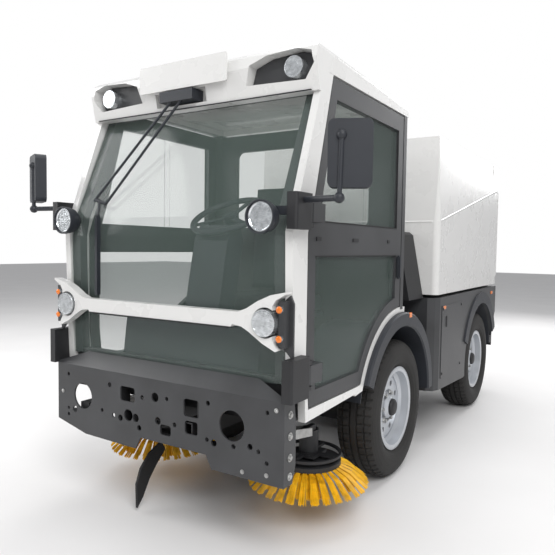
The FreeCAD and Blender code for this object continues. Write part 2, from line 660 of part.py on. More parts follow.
def lower_window():
    outline = [(-952, WAIST_Z[0]), (-952, 800), (-938, 655), (-100, 655), (-100, WAIST_Z[0])]
    opening = side_prism(outline, (DOOR[0] - 1, DOOR[1] + 1))
    return opening.cut(disc_x(ARCH, DOOR_ARCH_R + 52, (DOOR[0] - 2, DOOR[1] + 2)))


def door_glass():
    """Left door's panes: two upper ones that meet at a sliding bar, and the lower one."""
    slab = (DOOR[0] + 12, DOOR[0] + 17)
    upper = [(-791.5, 1811.5), (-906.5, 1400), (-935.5, 1318.5), (-100.5, 1318.5), (-100.5, 1811.5)]
    pane = side_prism(upper, slab)
    front = pane.common(box((0, 900), (-1000, -470), (1000, 2000)))
    rear = pane.common(box((0, 900), (-440, 0), (1000, 2000)))
    lower = side_prism([(-951.5, 1179.5), (-951.5, 800), (-937.5, 655.5), (-100.5, 655.5), (-100.5, 1179.5)], slab)
    lower = lower.cut(disc_x(ARCH, DOOR_ARCH_R + 52.5, (500, 700)))
    divider = box((DOOR[0] + 8, DOOR[0] + 24), (-470, -440), (1318.5, 1811.5))
    return fuse(front, rear, divider), lower


def mirror_and_arm():
    """Left mirror: a tall housing turned towards the driver, on a two-part arm from the upper hinge cover."""
    housing = box((-76, 76), (-26, 26), (-115, 115))
    housing = rounded(housing, 22, "y", everywhere)
    housing.rotate(Vector(0, 0, 0), Vector(0, 0, 1), 25)
    housing.translate(Vector(*MIRROR))
    x, y, z = MIRROR
    elbow = (x - 20, y - 38, z - 150)
    arm = rod((655, -1110, 1385), elbow, 11)
    upright = rod(elbow, (x - 14, y - 38, z + 60), 9)
    knuckle_ball = Part.makeSphere(19, Vector(*elbow))
    top_ball = Part.makeSphere(17, Vector(x - 14, y - 38, z + 60))
    clamp = rod((x - 14, y - 38, z + 60), (x - 4, y - 4, z + 60), 9)
    return fuse(housing, arm, upright, knuckle_ball, top_ball, clamp)


def wiper():
    """Motor box in the visor, a pair of parallel arms down to the knee, and the upright blade."""
    motor = box((-150, 40), (-1000, -926), (1846, 1892))
    knee = (-415, -1108, 1408)
    arms = [rod((-80, -985, 1862), (-452, -1102, 1420), 6), rod((-22, -985, 1862), (-380, -1102, 1400), 6)]
    tie = rod((-452, -1102, 1420), (-380, -1102, 1400), 9)
    stem = rod(knee, (-398, -1140, 1310), 6)
    blade = box((-405, -391), (-1146, -1125), (985, 1590))
    blade = blade.common(side_prism([(-1146, 985), (-1125, 985), (-1125, 1330), (-1125, 1345), (-1146, 1345)],
                                    (-410, -390)))
    return group(fuse(motor, arms[0], arms[1], tie), fuse(stem, blade))


def driver_seat():
    """Seat pan frame and pedestal between the wheelhouses."""
    pedestal = box((-150, 150), (-480, -120), (FLOOR_Z[1], 840))
    tray = box((-215, 215), (-560, -90), (840, 862))
    return fuse(pedestal, tray)


def seat_cushion():
    cushion = box((-225, 225), (-600, -120), (863, 975))
    cushion = rounded(cushion, 30, "x", lambda p: p.z > 900)
    return cushion


def seat_back():
    back = side_prism([(-215, 978), (-120, 978), (-70, 1400), (-78, 1540), (-140, 1552), (-165, 1400)], (-210, 210))
    return back


def console():
    """Pedal box and the low dashboard across the cab's front."""
    hull = side_prism([(-1060, 725), (-1040, 880), (-1000, 893), (-830, 880), (-800, FLOOR_Z[1]), (-1060, FLOOR_Z[1])],
                      (-310, 440))
    return hull


def steering_column():
    """Thick column cover leaning back from the console, with its switch pod."""
    cover = side_prism([(-960, 893), (-850, 881), (-775, 1240), (-790, 1300), (-850, 1310), (-890, 1240)], (-35, 155))
    return cover


def steering_wheel():
    ring = Part.makeTorus(178, 14)
    boss = Part.makeCylinder(38, 40, Vector(0, 0, -34))
    spokes = [Part.makeBox(150, 24, 8, Vector(20, -12, -12)) for _ in range(3)]
    for i, spoke in enumerate(spokes):
        spoke.rotate(Vector(0, 0, 0), Vector(0, 0, 1), 90 + 120 * i)
    wheel = fuse(ring, boss, *spokes)
    wheel.rotate(Vector(0, 0, 0), Vector(1, 0, 0), 28)
    wheel.translate(Vector(60, -750, 1358))
    return wheel


# ---------------------------------------------------------------- hopper
def lean_cut(side):
    """Block that trims a hopper side so that it leans in above the pressed line."""
    (y0, z0), (y1, z1) = CREASE
    block = Part.makeBox(3000, 3000, 400, Vector(-1500, -1500, 0))
    slope = math.degrees(math.atan2(z1 - z0, y1 - y0))
    block.rotate(Vector(0, 0, 0), Vector(0, 1, 0), side * 90)
    block.rotate(Vector(0, 0, 0), Vector(0, 1, 0), -side * HOPPER_LEAN)
    block.rotate(Vector(0, 0, 0), Vector(1, 0, 0), slope)
    block.translate(Vector(side * BODY_HALF, y0, z0))
    return block


def hopper_body():
    """Load box: floor, front, sides and roof in one welded shell, open at the rear."""
    outer = box((-BODY_HALF, BODY_HALF), HOPPER_Y, HOPPER_Z)
    outer = rounded(outer, 38, "z", lambda p: p.y < HOPPER_Y[0] + 1)
    for side in (1, -1):
        outer = outer.cut(lean_cut(side))
    front_lean = side_prism([(HOPPER_Y[0] - 1, CREASE[0][1]), (HOPPER_Y[0], CREASE[0][1]), (HOPPER_Y[0] + 12, 1901),
                             (HOPPER_Y[0] - 1, 1901)], (-700, 700))
    outer = outer.cut(front_lean)
    inner = box((-616, 616), (HOPPER_Y[0] + 30, HOPPER_Y[1] + 1), (HOPPER_Z[0] + 20, HOPPER_Z[1] - 24))
    shell = outer.cut(inner)
    shell = shell.cut(disc_z(DUCT, DUCT_R - 8, (HOPPER_Z[0] - 1, HOPPER_Z[0] + 30)))
    ears = []
    for x in ((420, 440), (-440, -420)):
        ear = side_prism([(2150, HOPPER_Z[1]), (2150, 1850), (2203, 1858), (2216, 1872), (2203, 1886)], x)
        ears.append(ear.cut(disc_x(TAIL_HINGE, 8 + PIN_GAP, (x[0] - 1, x[1] + 1))))
    shell = fuse(shell, *ears)
    for x in ((520, 548), (-548, -520)):
        foot = side_prism([(2090, 936), (2160, 936), (2190, 950), (2190, 982), (2168, 990), (2159, 990), (2159, 955),
                           (2090, 955)], x)
        shell = fuse(shell, foot)
    notch = box((548, 576), (2125, 2161), (930, 990))
    shell = shell.cut(notch).cut(mirrored(notch))
    return shell.cut(disc_x(TIP_PIVOT, 10 + PIN_GAP, (-700, 700)))


def hopper_door():
    """Top-hinged rear door with two hinge straps and its pins."""
    panel = box((-BODY_HALF, BODY_HALF), (2166, 2196), (1000, 1846))
    panel = rounded(panel, 12, "x", lambda p: p.y > 2190)
    parts = []
    for side in (1, -1):
        x = sorted((side * 446, side * 474))
        strap = side_prism([(2180, 1800), (2196, 1800), (2214, 1864), (2210, 1884), (2196, 1884), (2186, 1846)], x)
        pin = disc_x(TAIL_HINGE, 8, sorted((side * 416, side * 470)))
        parts.append(fuse(strap, pin))
    return fuse(panel, *parts)


def tip_brackets():
    """Fixed brackets and pins that the hopper tips on."""
    parts = []
    for side in (1, -1):
        x = sorted((side * 554, side * 570))
        plate = side_prism([(2140, DECK_Z[1]), (2204, DECK_Z[1]), (2192, 975), (2175, 984), (2158, 975)], x)
        pin = disc_x(TIP_PIVOT, 10, sorted((side * 516, side * 566)))
        parts.append(fuse(plate, pin))
    return group(*parts)


def hopper_rests():
    """Blocks on the deck that the hopper's floor sits on."""
    block = box((380, 440), (720, 780), (DECK_Z[1], HOPPER_Z[0]))
    return both(block)


# ---------------------------------------------------------------- side brushes
def swing_block():
    """Left swing block: the upright pin in the beam's lugs and the tongue for the lift pin."""
    block = box((SWING[0] - 24, SWING[0] + 24), (SWING[1] - 24, SWING[1] + 28), (400, 460))
    pin = disc_z(SWING, 14, (376, 486))
    tongue = fuse(box((SWING[0] - 12, SWING[0] + 12), (SWING[1], LIFT[0]), (LIFT[1] - 18, LIFT[1] + 18)),
                  disc_x(LIFT, 18, (SWING[0] - 12, SWING[0] + 12)))
    tongue = tongue.cut(disc_x(LIFT, 9 + PIN_GAP, (400, 540)))
    return fuse(block, tongue, pin)


def lift_arm():
    """Left lift arm: two side plates with a pin at each end."""
    plates = []
    for x in ((SWING[0] - 28, SWING[0] - 18), (SWING[0] + 18, SWING[0] + 28)):
        plate = side_prism([
            (LIFT[0] - 20, LIFT[1] - 18), (LIFT[0] - 20, LIFT[1] + 18), (-880, 452), (HEAD[0] + 18, HEAD[1] + 18),
            (HEAD[0] + 20, HEAD[1] - 18), (-880, 410),
        ], x)
        plates.append(plate)
    pins = [disc_x(end, 9, (SWING[0] - 27, SWING[0] + 27)) for end in (LIFT, HEAD)]
    return fuse(plates[0], plates[1], *pins)


def brush_head():
    """Left head: the tongue on the arm, the hydraulic motor, its shaft and the guard ring."""
    tongue = fuse(disc_x(HEAD, 18, (SWING[0] - 12, SWING[0] + 12)),
                  box((SWING[0] - 12, SWING[0] + 12), (HEAD[0], HUB[1]), (HEAD[1] - 18, HEAD[1] + 18)))
    tongue = tongue.cut(disc_x(HEAD, 9 + PIN_GAP, (400, 540)))
    motor = disc_z(HUB, 44, (288, 392))
    shaft = disc_z(HUB, 12, (DISC_Z[0] - 8, 300))
    plate = box((HUB[0] - 60, HUB[0] + 60), (HUB[1] - 60, HUB[1] + 60), (276, 290))
    ring = disc_z(HUB, 150, (278, 290)).cut(disc_z(HUB, 138, (270, 300)))
    spokes = [box((HUB[0] - 145, HUB[0] + 145), (HUB[1] - 10, HUB[1] + 10), (278, 290)),
              box((HUB[0] - 10, HUB[0] + 10), (HUB[1] - 145, HUB[1] + 145), (278, 290))]
    return fuse(tongue, motor, shaft, plate, ring, *spokes)


def brush_disc():
    plate = disc_z(HUB, 150, DISC_Z)
    boss = disc_z(HUB, 30, (DISC_Z[0] - 14, DISC_Z[1] + 6))
    return fuse(plate, boss).cut(disc_z(HUB, 12 + PIN_GAP, (DISC_Z[0] - 15, DISC_Z[1] + 10)))


def brush_bristles():
    """Left bristle cone, spreading from the disc to the tips."""
    return turned_z([(70, DISC_Z[0]), (146, DISC_Z[0]), (190, 226), (BRUSH_R, BRUSH_TIP_Z + 22),
                     (BRUSH_R - 12, BRUSH_TIP_Z), (105, BRUSH_TIP_Z)], HUB)


# ---------------------------------------------------------------- the whole vehicle
# Pieces that are notched where a neighbour passes, and the largest scrap in mm3 that the notch cuts loose.
OFFCUT = 1000.0
NOTCHED = {
    "side_frames": ("cab_pillars", "cab_roof"),
    "deck": ("side_panels",),
    "lamp_panels": ("hinge_covers",),
    "mirrors": ("hinge_covers",),
    "tool_plate": ("hinge_covers",),
}


def main():
    os.makedirs("parts", exist_ok=True)
    for end, y in (("front", 0.0), ("rear", WHEELBASE)):
        for name, side in (("left", 1), ("right", -1)):
            save(end + "_tyre_" + name, tyre(side * WHEEL_X, y))
            save(end + "_rim_" + name, rim(side, y))
    flank, corner = side_panel()
    panes, lower_pane = door_glass()
    paired = {
        "knuckle": knuckle(), "door_frame": door_frame(), "door_glass": group(panes, lower_pane),
        "swing_block": swing_block(), "lift_arm": lift_arm(), "brush_head": brush_head(),
        "brush": fuse(brush_disc(), brush_bristles()),
    }
    for name, shape in paired.items():
        save(name + "_left", shape)
        save(name + "_right", mirrored(shape))
    single = {
        "front_axle_beam": front_axle_beam(), "rear_axle_beam": rear_axle_beam(),
        "chassis_rails": chassis_rails(), "cross_members": cross_members(),
        "brush_beam": group(brush_beam(), plate_stays()), "tool_plate": tool_plate(),
        "deflector_flap": deflector_flap(), "cab_floor": cab_floor(), "wheelhouses": group(
            both(front_wheelhouse()), both(rear_wheelhouse())),
        "wheel_flares": group(both(front_flare()), both(rear_flare())), "side_frames": both(side_frame()),
        "cab_pillars": group(rear_posts(), screen_frame()), "cab_glass": group(windscreen(), rear_window()),
        "cab_rear_wall": cab_rear_wall(), "cab_roof": cab_roof(), "number_plate": number_plate(),
        "lamp_bar": lamp_bar(), "lamp_panels": group(lamp_panels(), lamp_pockets()),
        "lamps": group(roof_lamps(), headlamps(), tail_lamps()),
        "work_lamps": work_lamps(), "hinge_covers": both(hinge_covers()), "mirrors": both(mirror_and_arm()),
        "wiper": wiper(), "driver_seat": driver_seat(), "seat_cushion": seat_cushion(), "seat_back": seat_back(),
        "console": fuse(console(), steering_column()), "steering_wheel": steering_wheel(),
        "side_panels": both(fuse(flank, corner, side_hatch())),
        "deck": fuse(deck(), tip_brackets(), hopper_rests()),
        "rear_panel": rear_panel(), "rear_bumper": rear_bumper(),
        "engine_block": engine_block(), "engine_cowl": engine_cowl(),
        "suction_nozzle": fuse(suction_nozzle(), suction_duct(), nozzle_hangers()),
        "hopper_body": hopper_body(),
        "hopper_door": hopper_door(),
    }
    for name, neighbours in NOTCHED.items():
        for neighbour in neighbours:
            single[name] = single[name].cut(single[neighbour])
        single[name] = group(*[solid for solid in single[name].Solids if solid.Volume > OFFCUT])
    for name, shape in single.items():
        save(name, group(shape))


main()
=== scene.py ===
"""Looks of the compact street sweeper: materials for every CAD piece, and the small detail around them."""

import json
import math
import random

import bmesh
import bpy
from mathutils import Matrix, Vector


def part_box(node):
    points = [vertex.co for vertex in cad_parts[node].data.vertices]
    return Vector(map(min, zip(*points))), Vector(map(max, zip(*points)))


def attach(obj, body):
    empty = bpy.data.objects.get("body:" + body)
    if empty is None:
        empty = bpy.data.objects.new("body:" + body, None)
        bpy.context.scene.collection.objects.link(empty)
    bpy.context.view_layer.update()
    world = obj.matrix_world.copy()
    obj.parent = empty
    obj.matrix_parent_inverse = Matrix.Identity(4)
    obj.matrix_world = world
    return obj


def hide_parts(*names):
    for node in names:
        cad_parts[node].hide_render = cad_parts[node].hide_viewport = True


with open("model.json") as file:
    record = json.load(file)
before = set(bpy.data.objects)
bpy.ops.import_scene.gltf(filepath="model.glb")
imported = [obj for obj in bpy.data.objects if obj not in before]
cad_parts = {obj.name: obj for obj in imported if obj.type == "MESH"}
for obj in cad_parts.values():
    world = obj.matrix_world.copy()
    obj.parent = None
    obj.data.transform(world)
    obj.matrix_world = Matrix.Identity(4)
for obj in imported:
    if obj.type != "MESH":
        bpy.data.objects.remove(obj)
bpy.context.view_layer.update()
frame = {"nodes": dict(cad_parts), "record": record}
FRONT_AXLE_Y = -0.525
random.seed(7)


# ---------------------------------------------------------------- materials
def material(name, color, rough, metal=0.0, vary=0.15, scale=6.0, grain=400.0, bump=0.05, coat=0.0, alpha=1.0):
    """Paint, metal, plastic or rubber: broad tone changes, fine grain in roughness and bump."""
    mat = bpy.data.materials.new(name)
    mat.use_nodes = True
    nodes, links = mat.node_tree.nodes, mat.node_tree.links
    shader = nodes["Principled BSDF"]
    shader.inputs["Metallic"].default_value = metal
    shader.inputs["Coat Weight"].default_value = coat
    shader.inputs["Coat Roughness"].default_value = 0.08
    shader.inputs["Alpha"].default_value = alpha
    place = nodes.new("ShaderNodeTexCoord")
    broad = nodes.new("ShaderNodeTexNoise")
    broad.inputs["Scale"].default_value = scale
    broad.inputs["Detail"].default_value = 6.0
    fine = nodes.new("ShaderNodeTexNoise")
    fine.inputs["Scale"].default_value = grain
    fine.inputs["Detail"].default_value = 3.0
    tone = nodes.new("ShaderNodeValToRGB")
    for stop, factor in zip(tone.color_ramp.elements, (1.0 - vary, 1.0 + vary * 0.4)):
        stop.color = [min(c * factor, 1.0) for c in color] + [1.0]
    tone.color_ramp.elements[0].position = 0.3
    tone.color_ramp.elements[1].position = 0.7
    gloss = nodes.new("ShaderNodeMapRange")
    gloss.inputs["To Min"].default_value = max(rough - 0.06, 0.02)
    gloss.inputs["To Max"].default_value = min(rough + 0.10, 1.0)
    relief = nodes.new("ShaderNodeBump")
    relief.inputs["Strength"].default_value = bump
    relief.inputs["Distance"].default_value = 0.001
    for noise in (broad, fine):
        links.new(place.outputs["Object"], noise.inputs["Vector"])
    links.new(broad.outputs["Fac"], tone.inputs["Fac"])
    links.new(tone.outputs["Color"], shader.inputs["Base Color"])
    links.new(broad.outputs["Fac"], gloss.inputs["Value"])
    links.new(gloss.outputs["Result"], shader.inputs["Roughness"])
    links.new(fine.outputs["Fac"], relief.inputs["Height"])
    links.new(relief.outputs["Normal"], shader.inputs["Normal"])
    return mat


WHITE = material("white_paint", (0.74, 0.735, 0.72), 0.26, vary=0.015, bump=0.02, coat=0.5)
ANTHRACITE = material("anthracite", (0.045, 0.046, 0.049), 0.42, vary=0.25, grain=900, bump=0.12)
BLACK = material("chassis_black", (0.018, 0.018, 0.02), 0.5, vary=0.3, grain=600, bump=0.15)
PLASTIC = material("black_plastic", (0.022, 0.025, 0.032), 0.48, vary=0.2, grain=1400, bump=0.3)
TYRE = material("tyre", (0.022, 0.021, 0.020), 0.78, vary=0.35, scale=12, grain=700, bump=0.3)
RUBBER = material("rubber", (0.012, 0.012, 0.013), 0.62, vary=0.3, grain=300, bump=0.25)
SILVER = material("rim_silver", (0.55, 0.57, 0.60), 0.32, metal=0.55, vary=0.12, grain=900, bump=0.06)
STEEL = material("arm_steel", (0.50, 0.50, 0.49), 0.36, metal=0.9, vary=0.3, scale=25, grain=500, bump=0.12)
BRISTLE = material("bristle", (0.93, 0.50, 0.008), 0.5, vary=0.35, scale=30, grain=800, bump=0.2)
GLASS = material("glass", (0.20, 0.27, 0.24), 0.04, vary=0.05, scale=2, bump=0.0, coat=0.6, alpha=0.15)
LENS = material("lens", (0.80, 0.83, 0.85), 0.08, metal=0.85, vary=0.3, scale=60, grain=220, bump=0.8)
AMBER = material("amber", (0.95, 0.22, 0.01), 0.2, vary=0.25, scale=80, grain=500, bump=0.6, coat=0.5)
RED = material("red_lens", (0.55, 0.01, 0.01), 0.2, vary=0.25, scale=80, grain=500, bump=0.6, coat=0.5)
FABRIC = material("seat_fabric", (0.035, 0.036, 0.04), 0.85, vary=0.4, scale=150, grain=1800, bump=0.7)
BY_SLOT = {
    "white_paint": WHITE, "anthracite": ANTHRACITE, "chassis_black": BLACK, "black_plastic": PLASTIC, "tyre": TYRE,
    "rubber": RUBBER, "rim_silver": SILVER, "arm_steel": STEEL, "bristle": BRISTLE, "glass": GLASS, "lens": LENS,
    "seat_fabric": FABRIC,
}
for part in frame["record"]["subparts"]:
    mesh = frame["nodes"][part["node"]].data
    mesh.materials.clear()
    mesh.materials.append(BY_SLOT[part["material_slot"]])


# ---------------------------------------------------------------- mesh helpers
def piece(name, mesh_builder, mat, body, smooth=False):
    """Makes one object from a bmesh that the builder fills, and lets it ride on a body."""
    bm = bmesh.new()
    mesh_builder(bm)
    bmesh.ops.recalc_face_normals(bm, faces=bm.faces)
    mesh = bpy.data.meshes.new(name)
    bm.to_mesh(mesh)
    bm.free()
    mesh.materials.append(mat)
    if smooth:
        mesh.polygons.foreach_set("use_smooth", [True] * len(mesh.polygons))
    obj = bpy.data.objects.new(name, mesh)
    bpy.context.scene.collection.objects.link(obj)
    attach(obj, body)
    return obj


def add_box(bm, low, high, bevel=0.002):
    """Box between two corners with bevelled edges."""
    made = bmesh.ops.create_cube(bm, size=1.0)["verts"]
    size = [b - a for a, b in zip(low, high)]
    middle = [(a + b) / 2 for a, b in zip(low, high)]
    bmesh.ops.scale(bm, vec=size, verts=made)
    bmesh.ops.translate(bm, vec=middle, verts=made)
    edges = list({e for v in made for e in v.link_edges})
    bmesh.ops.bevel(bm, geom=edges, offset=min(bevel, min(size) * 0.3), segments=2, affect="EDGES")


def add_turned(bm, centre, direction, profile, steps=32):
    """Turned shape about a direction; profile holds (distance along, radius), closed at both ends."""
    turn = Vector(direction).to_track_quat("Z", "Y").to_matrix().to_4x4()
    rings = []
    for along, radius in profile:
        ring = []
        for i in range(steps):
            a = 2 * math.pi * i / steps
            spot = turn @ Vector((radius * math.cos(a), radius * math.sin(a), along))
            ring.append(bm.verts.new(spot + Vector(centre)))
        rings.append(ring)
    for one, two in zip(rings, rings[1:]):
        for i in range(steps):
            j = (i + 1) % steps
            bm.faces.new((one[i], one[j], two[j], two[i]))
    bm.faces.new(rings[0])
    bm.faces.new(rings[-1])


def bolts(bm, places, direction, radius=0.010, height=0.007):
    """Hexagon heads on washers."""
    for place in places:
        add_turned(bm, place, direction, [(0, radius * 1.5), (0.002, radius * 1.5)], 20)
        add_turned(bm, place, direction, [(0.002, radius), (height, radius), (height + 0.001, radius * 0.8)], 6)


# ---------------------------------------------------------------- wheels
def add_tyre(bm, node):
    """Tyre with grooved tread blocks and a bead line on its wall."""
    low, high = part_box(node)
    centre = (low + high) / 2
    crown = (high.z - low.z) / 2
    half = (high.x - low.x) / 2
    wall = [(0.079, 0.2035), (0.081, 0.226), (0.100, 0.246), (0.1065, 0.268), (0.1075, 0.276), (0.1075, 0.292),
            (0.1055, 0.306), (0.1035, 0.320), (0.098, 0.336), (0.090, 0.347)]
    ribs = [(0.080, 0.3545), (0.062, 0.361), (0.060, 0.352), (0.054, 0.352), (0.052, 0.3625), (0.024, crown),
            (0.022, 0.353), (0.014, 0.353), (0.012, crown)]
    outline = wall + ribs
    outline = outline + [(-x, r) for x, r in reversed(outline)]
    steps = 216
    grid = []
    for i in range(steps):
        a = 2 * math.pi * i / steps
        column = []
        for x, r in outline:
            blocked = i % 4 == (1 if x > 0 else 3)
            depth = 0.008 if r > 0.353 and blocked and abs(x) > 0.02 else 0.0
            r = r - depth
            x = max(-half, min(half, x))
            column.append(bm.verts.new(centre + Vector((x, r * math.cos(a), r * math.sin(a)))))
        grid.append(column)
    for i in range(steps):
        here, there = grid[i], grid[(i + 1) % steps]
        for k in range(len(outline)):
            m = (k + 1) % len(outline)
            bm.faces.new((here[k], here[m], there[m], there[k]))


for end in ("front", "rear"):
    for side_name, side in (("left", 1), ("right", -1)):
        body = f"{end}_wheel_{side_name}"
        node = f"{end}_tyre_{side_name}"
        tyre = piece(f"{node}_tread", lambda bm: add_tyre(bm, node), TYRE, body)
        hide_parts(node)
        rim_low, rim_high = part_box(f"{end}_rim_{side_name}")
        hub = (rim_low + rim_high) / 2
        hub.x += side * 0.030
        nut_ring = [hub + Vector((side * 0.004, 0.078 * math.cos(k * math.pi / 3), 0.078 * math.sin(k * math.pi / 3)))
                    for k in range(6)]
        piece(f"{end}_nuts_{side_name}", lambda bm: bolts(bm, nut_ring, (side, 0, 0), 0.011, 0.016), STEEL, body)
        cap = hub + Vector((side * 0.030, 0, 0))
        dome = [(0, 0.046), (0.012, 0.044), (0.020, 0.034), (0.023, 0.012)]
        piece(f"{end}_hub_cap_{side_name}", lambda bm: add_turned(bm, cap, (side, 0, 0), dome), BLACK, body,
              smooth=True)


# ---------------------------------------------------------------- side brushes
def add_brush(bm, node):
    """Ring of leaning tufts, each a bundle of tapered bristles, in two rows."""
    low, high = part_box(node)
    hub = (low + high) / 2
    reach = (high.x - low.x) / 2 - 0.004
    top, tip = high.z - 0.026, low.z + 0.001
    tufts = 32
    for row, (root, spread) in enumerate(((0.132, reach), (0.105, reach * 0.80))):
        for t in range(tufts):
            middle = 2 * math.pi * (t + 0.5 * row) / tufts
            for _ in range(26):
                a = middle + random.uniform(-1, 1) * 0.052
                end = a + random.uniform(-1, 1) * 0.020 + 0.03
                start = Vector((root * math.cos(a), root * math.sin(a), 0))
                far = spread * random.uniform(0.965, 1.0)
                stop = Vector((far * math.cos(end), far * math.sin(end), 0))
                points = []
                for s in (0.0, 0.5, 1.0):
                    spot = start.lerp(stop, s)
                    fall = s ** 1.6
                    spot.z = top * (1 - fall) + (tip + random.uniform(0, 0.008)) * fall
                    points.append(spot + Vector((hub.x, hub.y, 0)))
                across = Vector((-math.sin(a), math.cos(a), 0))
                rings = []
                for spot, w in zip(points, (0.0022, 0.0024, 0.0018)):
                    rings.append([bm.verts.new(spot + across * w), bm.verts.new(spot - across * w),
                                  bm.verts.new(spot + Vector((0, 0, w * 1.4)))])
                for one, two in zip(rings, rings[1:]):
                    for k in range(3):
                        bm.faces.new((one[k], one[(k + 1) % 3], two[(k + 1) % 3], two[k]))
                bm.faces.new(rings[0])
                bm.faces.new(rings[-1])


def add_brush_plate(bm, node):
    low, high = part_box(node)
    hub = (low + high) / 2
    base = (hub.x, hub.y, high.z - 0.024)
    add_turned(bm, base, (0, 0, 1), [(-0.006, 0.120), (-0.006, 0.148), (0.014, 0.148), (0.017, 0.140),
                                     (0.017, 0.034), (0.023, 0.030)], 48)


for side_name in ("left", "right"):
    node = f"brush_{side_name}"
    body = f"side_brush_{side_name}"
    tufts_piece = piece(f"{node}_tufts", lambda bm: add_brush(bm, node), BRISTLE, body)
    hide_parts(node)
    piece(f"{node}_plate", lambda bm: add_brush_plate(bm, node), BLACK, body)


# ---------------------------------------------------------------- seat
def cushion(name, node, channels):
    """Crowned pad with sewn channels, in the space of its CAD solid."""
    low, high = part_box(node)
    size = high - low
    middle = (low + high) / 2
    bm = bmesh.new()
    bmesh.ops.create_cube(bm, size=1.0)
    bmesh.ops.subdivide_edges(bm, edges=bm.edges, cuts=23, use_grid_fill=True)
    upright = size.z > size.y
    for v in bm.verts:
        u, w, h = v.co.x * 2, (v.co.z if upright else v.co.y) * 2, (v.co.y if upright else v.co.z) * 2
        edge = (1 - abs(u) ** 5) * (1 - abs(w) ** 5)
        crown = 0.72 + 0.28 * max(edge, 0.0) ** 0.5
        seam = sum(math.exp(-((u - c) * 16) ** 2) for c in channels) * 0.10
        pull = 1 - 0.05 * abs(h) ** 3
        h = h * (crown - seam)
        v.co.x = u * pull / 2
        if upright:
            v.co.z = w * pull / 2
            v.co.y = h / 2 * 0.62 + v.co.z * 0.36
        else:
            v.co.y = w * pull / 2
            v.co.z = h / 2
    for v in bm.verts:
        v.co = Vector((v.co.x * size.x, v.co.y * size.y, v.co.z * size.z)) * 0.985 + middle
    mesh = bpy.data.meshes.new(name)
    bm.to_mesh(mesh)
    bm.free()
    mesh.materials.append(FABRIC)
    mesh.polygons.foreach_set("use_smooth", [True] * len(mesh.polygons))
    obj = bpy.data.objects.new(name, mesh)
    bpy.context.scene.collection.objects.link(obj)
    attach(obj, "chassis")
    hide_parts(node)


cushion("seat_cushion_pad", "seat_cushion", (-0.45, 0.45))
cushion("seat_back_pad", "seat_back", (-0.45, 0.45))


# ---------------------------------------------------------------- lamps, plate and trim
def at(x, y, z):
    """Point whose y is measured from the front axle."""
    return Vector((x, y + FRONT_AXLE_Y, z))


LAMP_FACES = {"roof": (0.521, -0.960, 1.918, 0.040), "work": (0.542, -1.2080, 1.322, 0.054),
              "head": (0.552, -1.1958, 0.938, 0.047)}


def add_lens(bm, x, y, z, radius):
    add_turned(bm, at(x, y, z), (0, -1, 0), [(-0.006, radius), (0.0002, radius), (0.0004, radius * 0.93),
                                             (-0.004, radius * 0.86), (-0.004, radius * 0.3)], 40)


def add_bezel(bm, x, y, z, radius):
    for k in range(3):
        a = math.radians(90 + 120 * k)
        add_turned(bm, at(x + radius * math.cos(a), y + 0.0003, z + radius * math.sin(a)), (0, -1, 0),
                   [(-0.004, 0.005), (0.0, 0.005)], 12)


def add_work_lamp(bm, side):
    """Round black can with a raised rim round its sunk lens, and its bracket to the hinge cover."""
    can = [(0, 0.020), (0.004, 0.034), (0.030, 0.054), (0.060, 0.0615), (0.0815, 0.062), (0.082, 0.060),
           (0.0815, 0.0565), (0.068, 0.0555)]
    add_turned(bm, at(side * WORK_LAMP.x, WORK_LAMP.y, WORK_LAMP.z), (0, -1, 0), can, 48)
    inner, outer = sorted((side * WORK_LAMP.x, side * 0.632))
    add_box(bm, at(inner, -1.160, WORK_LAMP.z + 0.008), at(outer, -1.148, WORK_LAMP.z + 0.040))


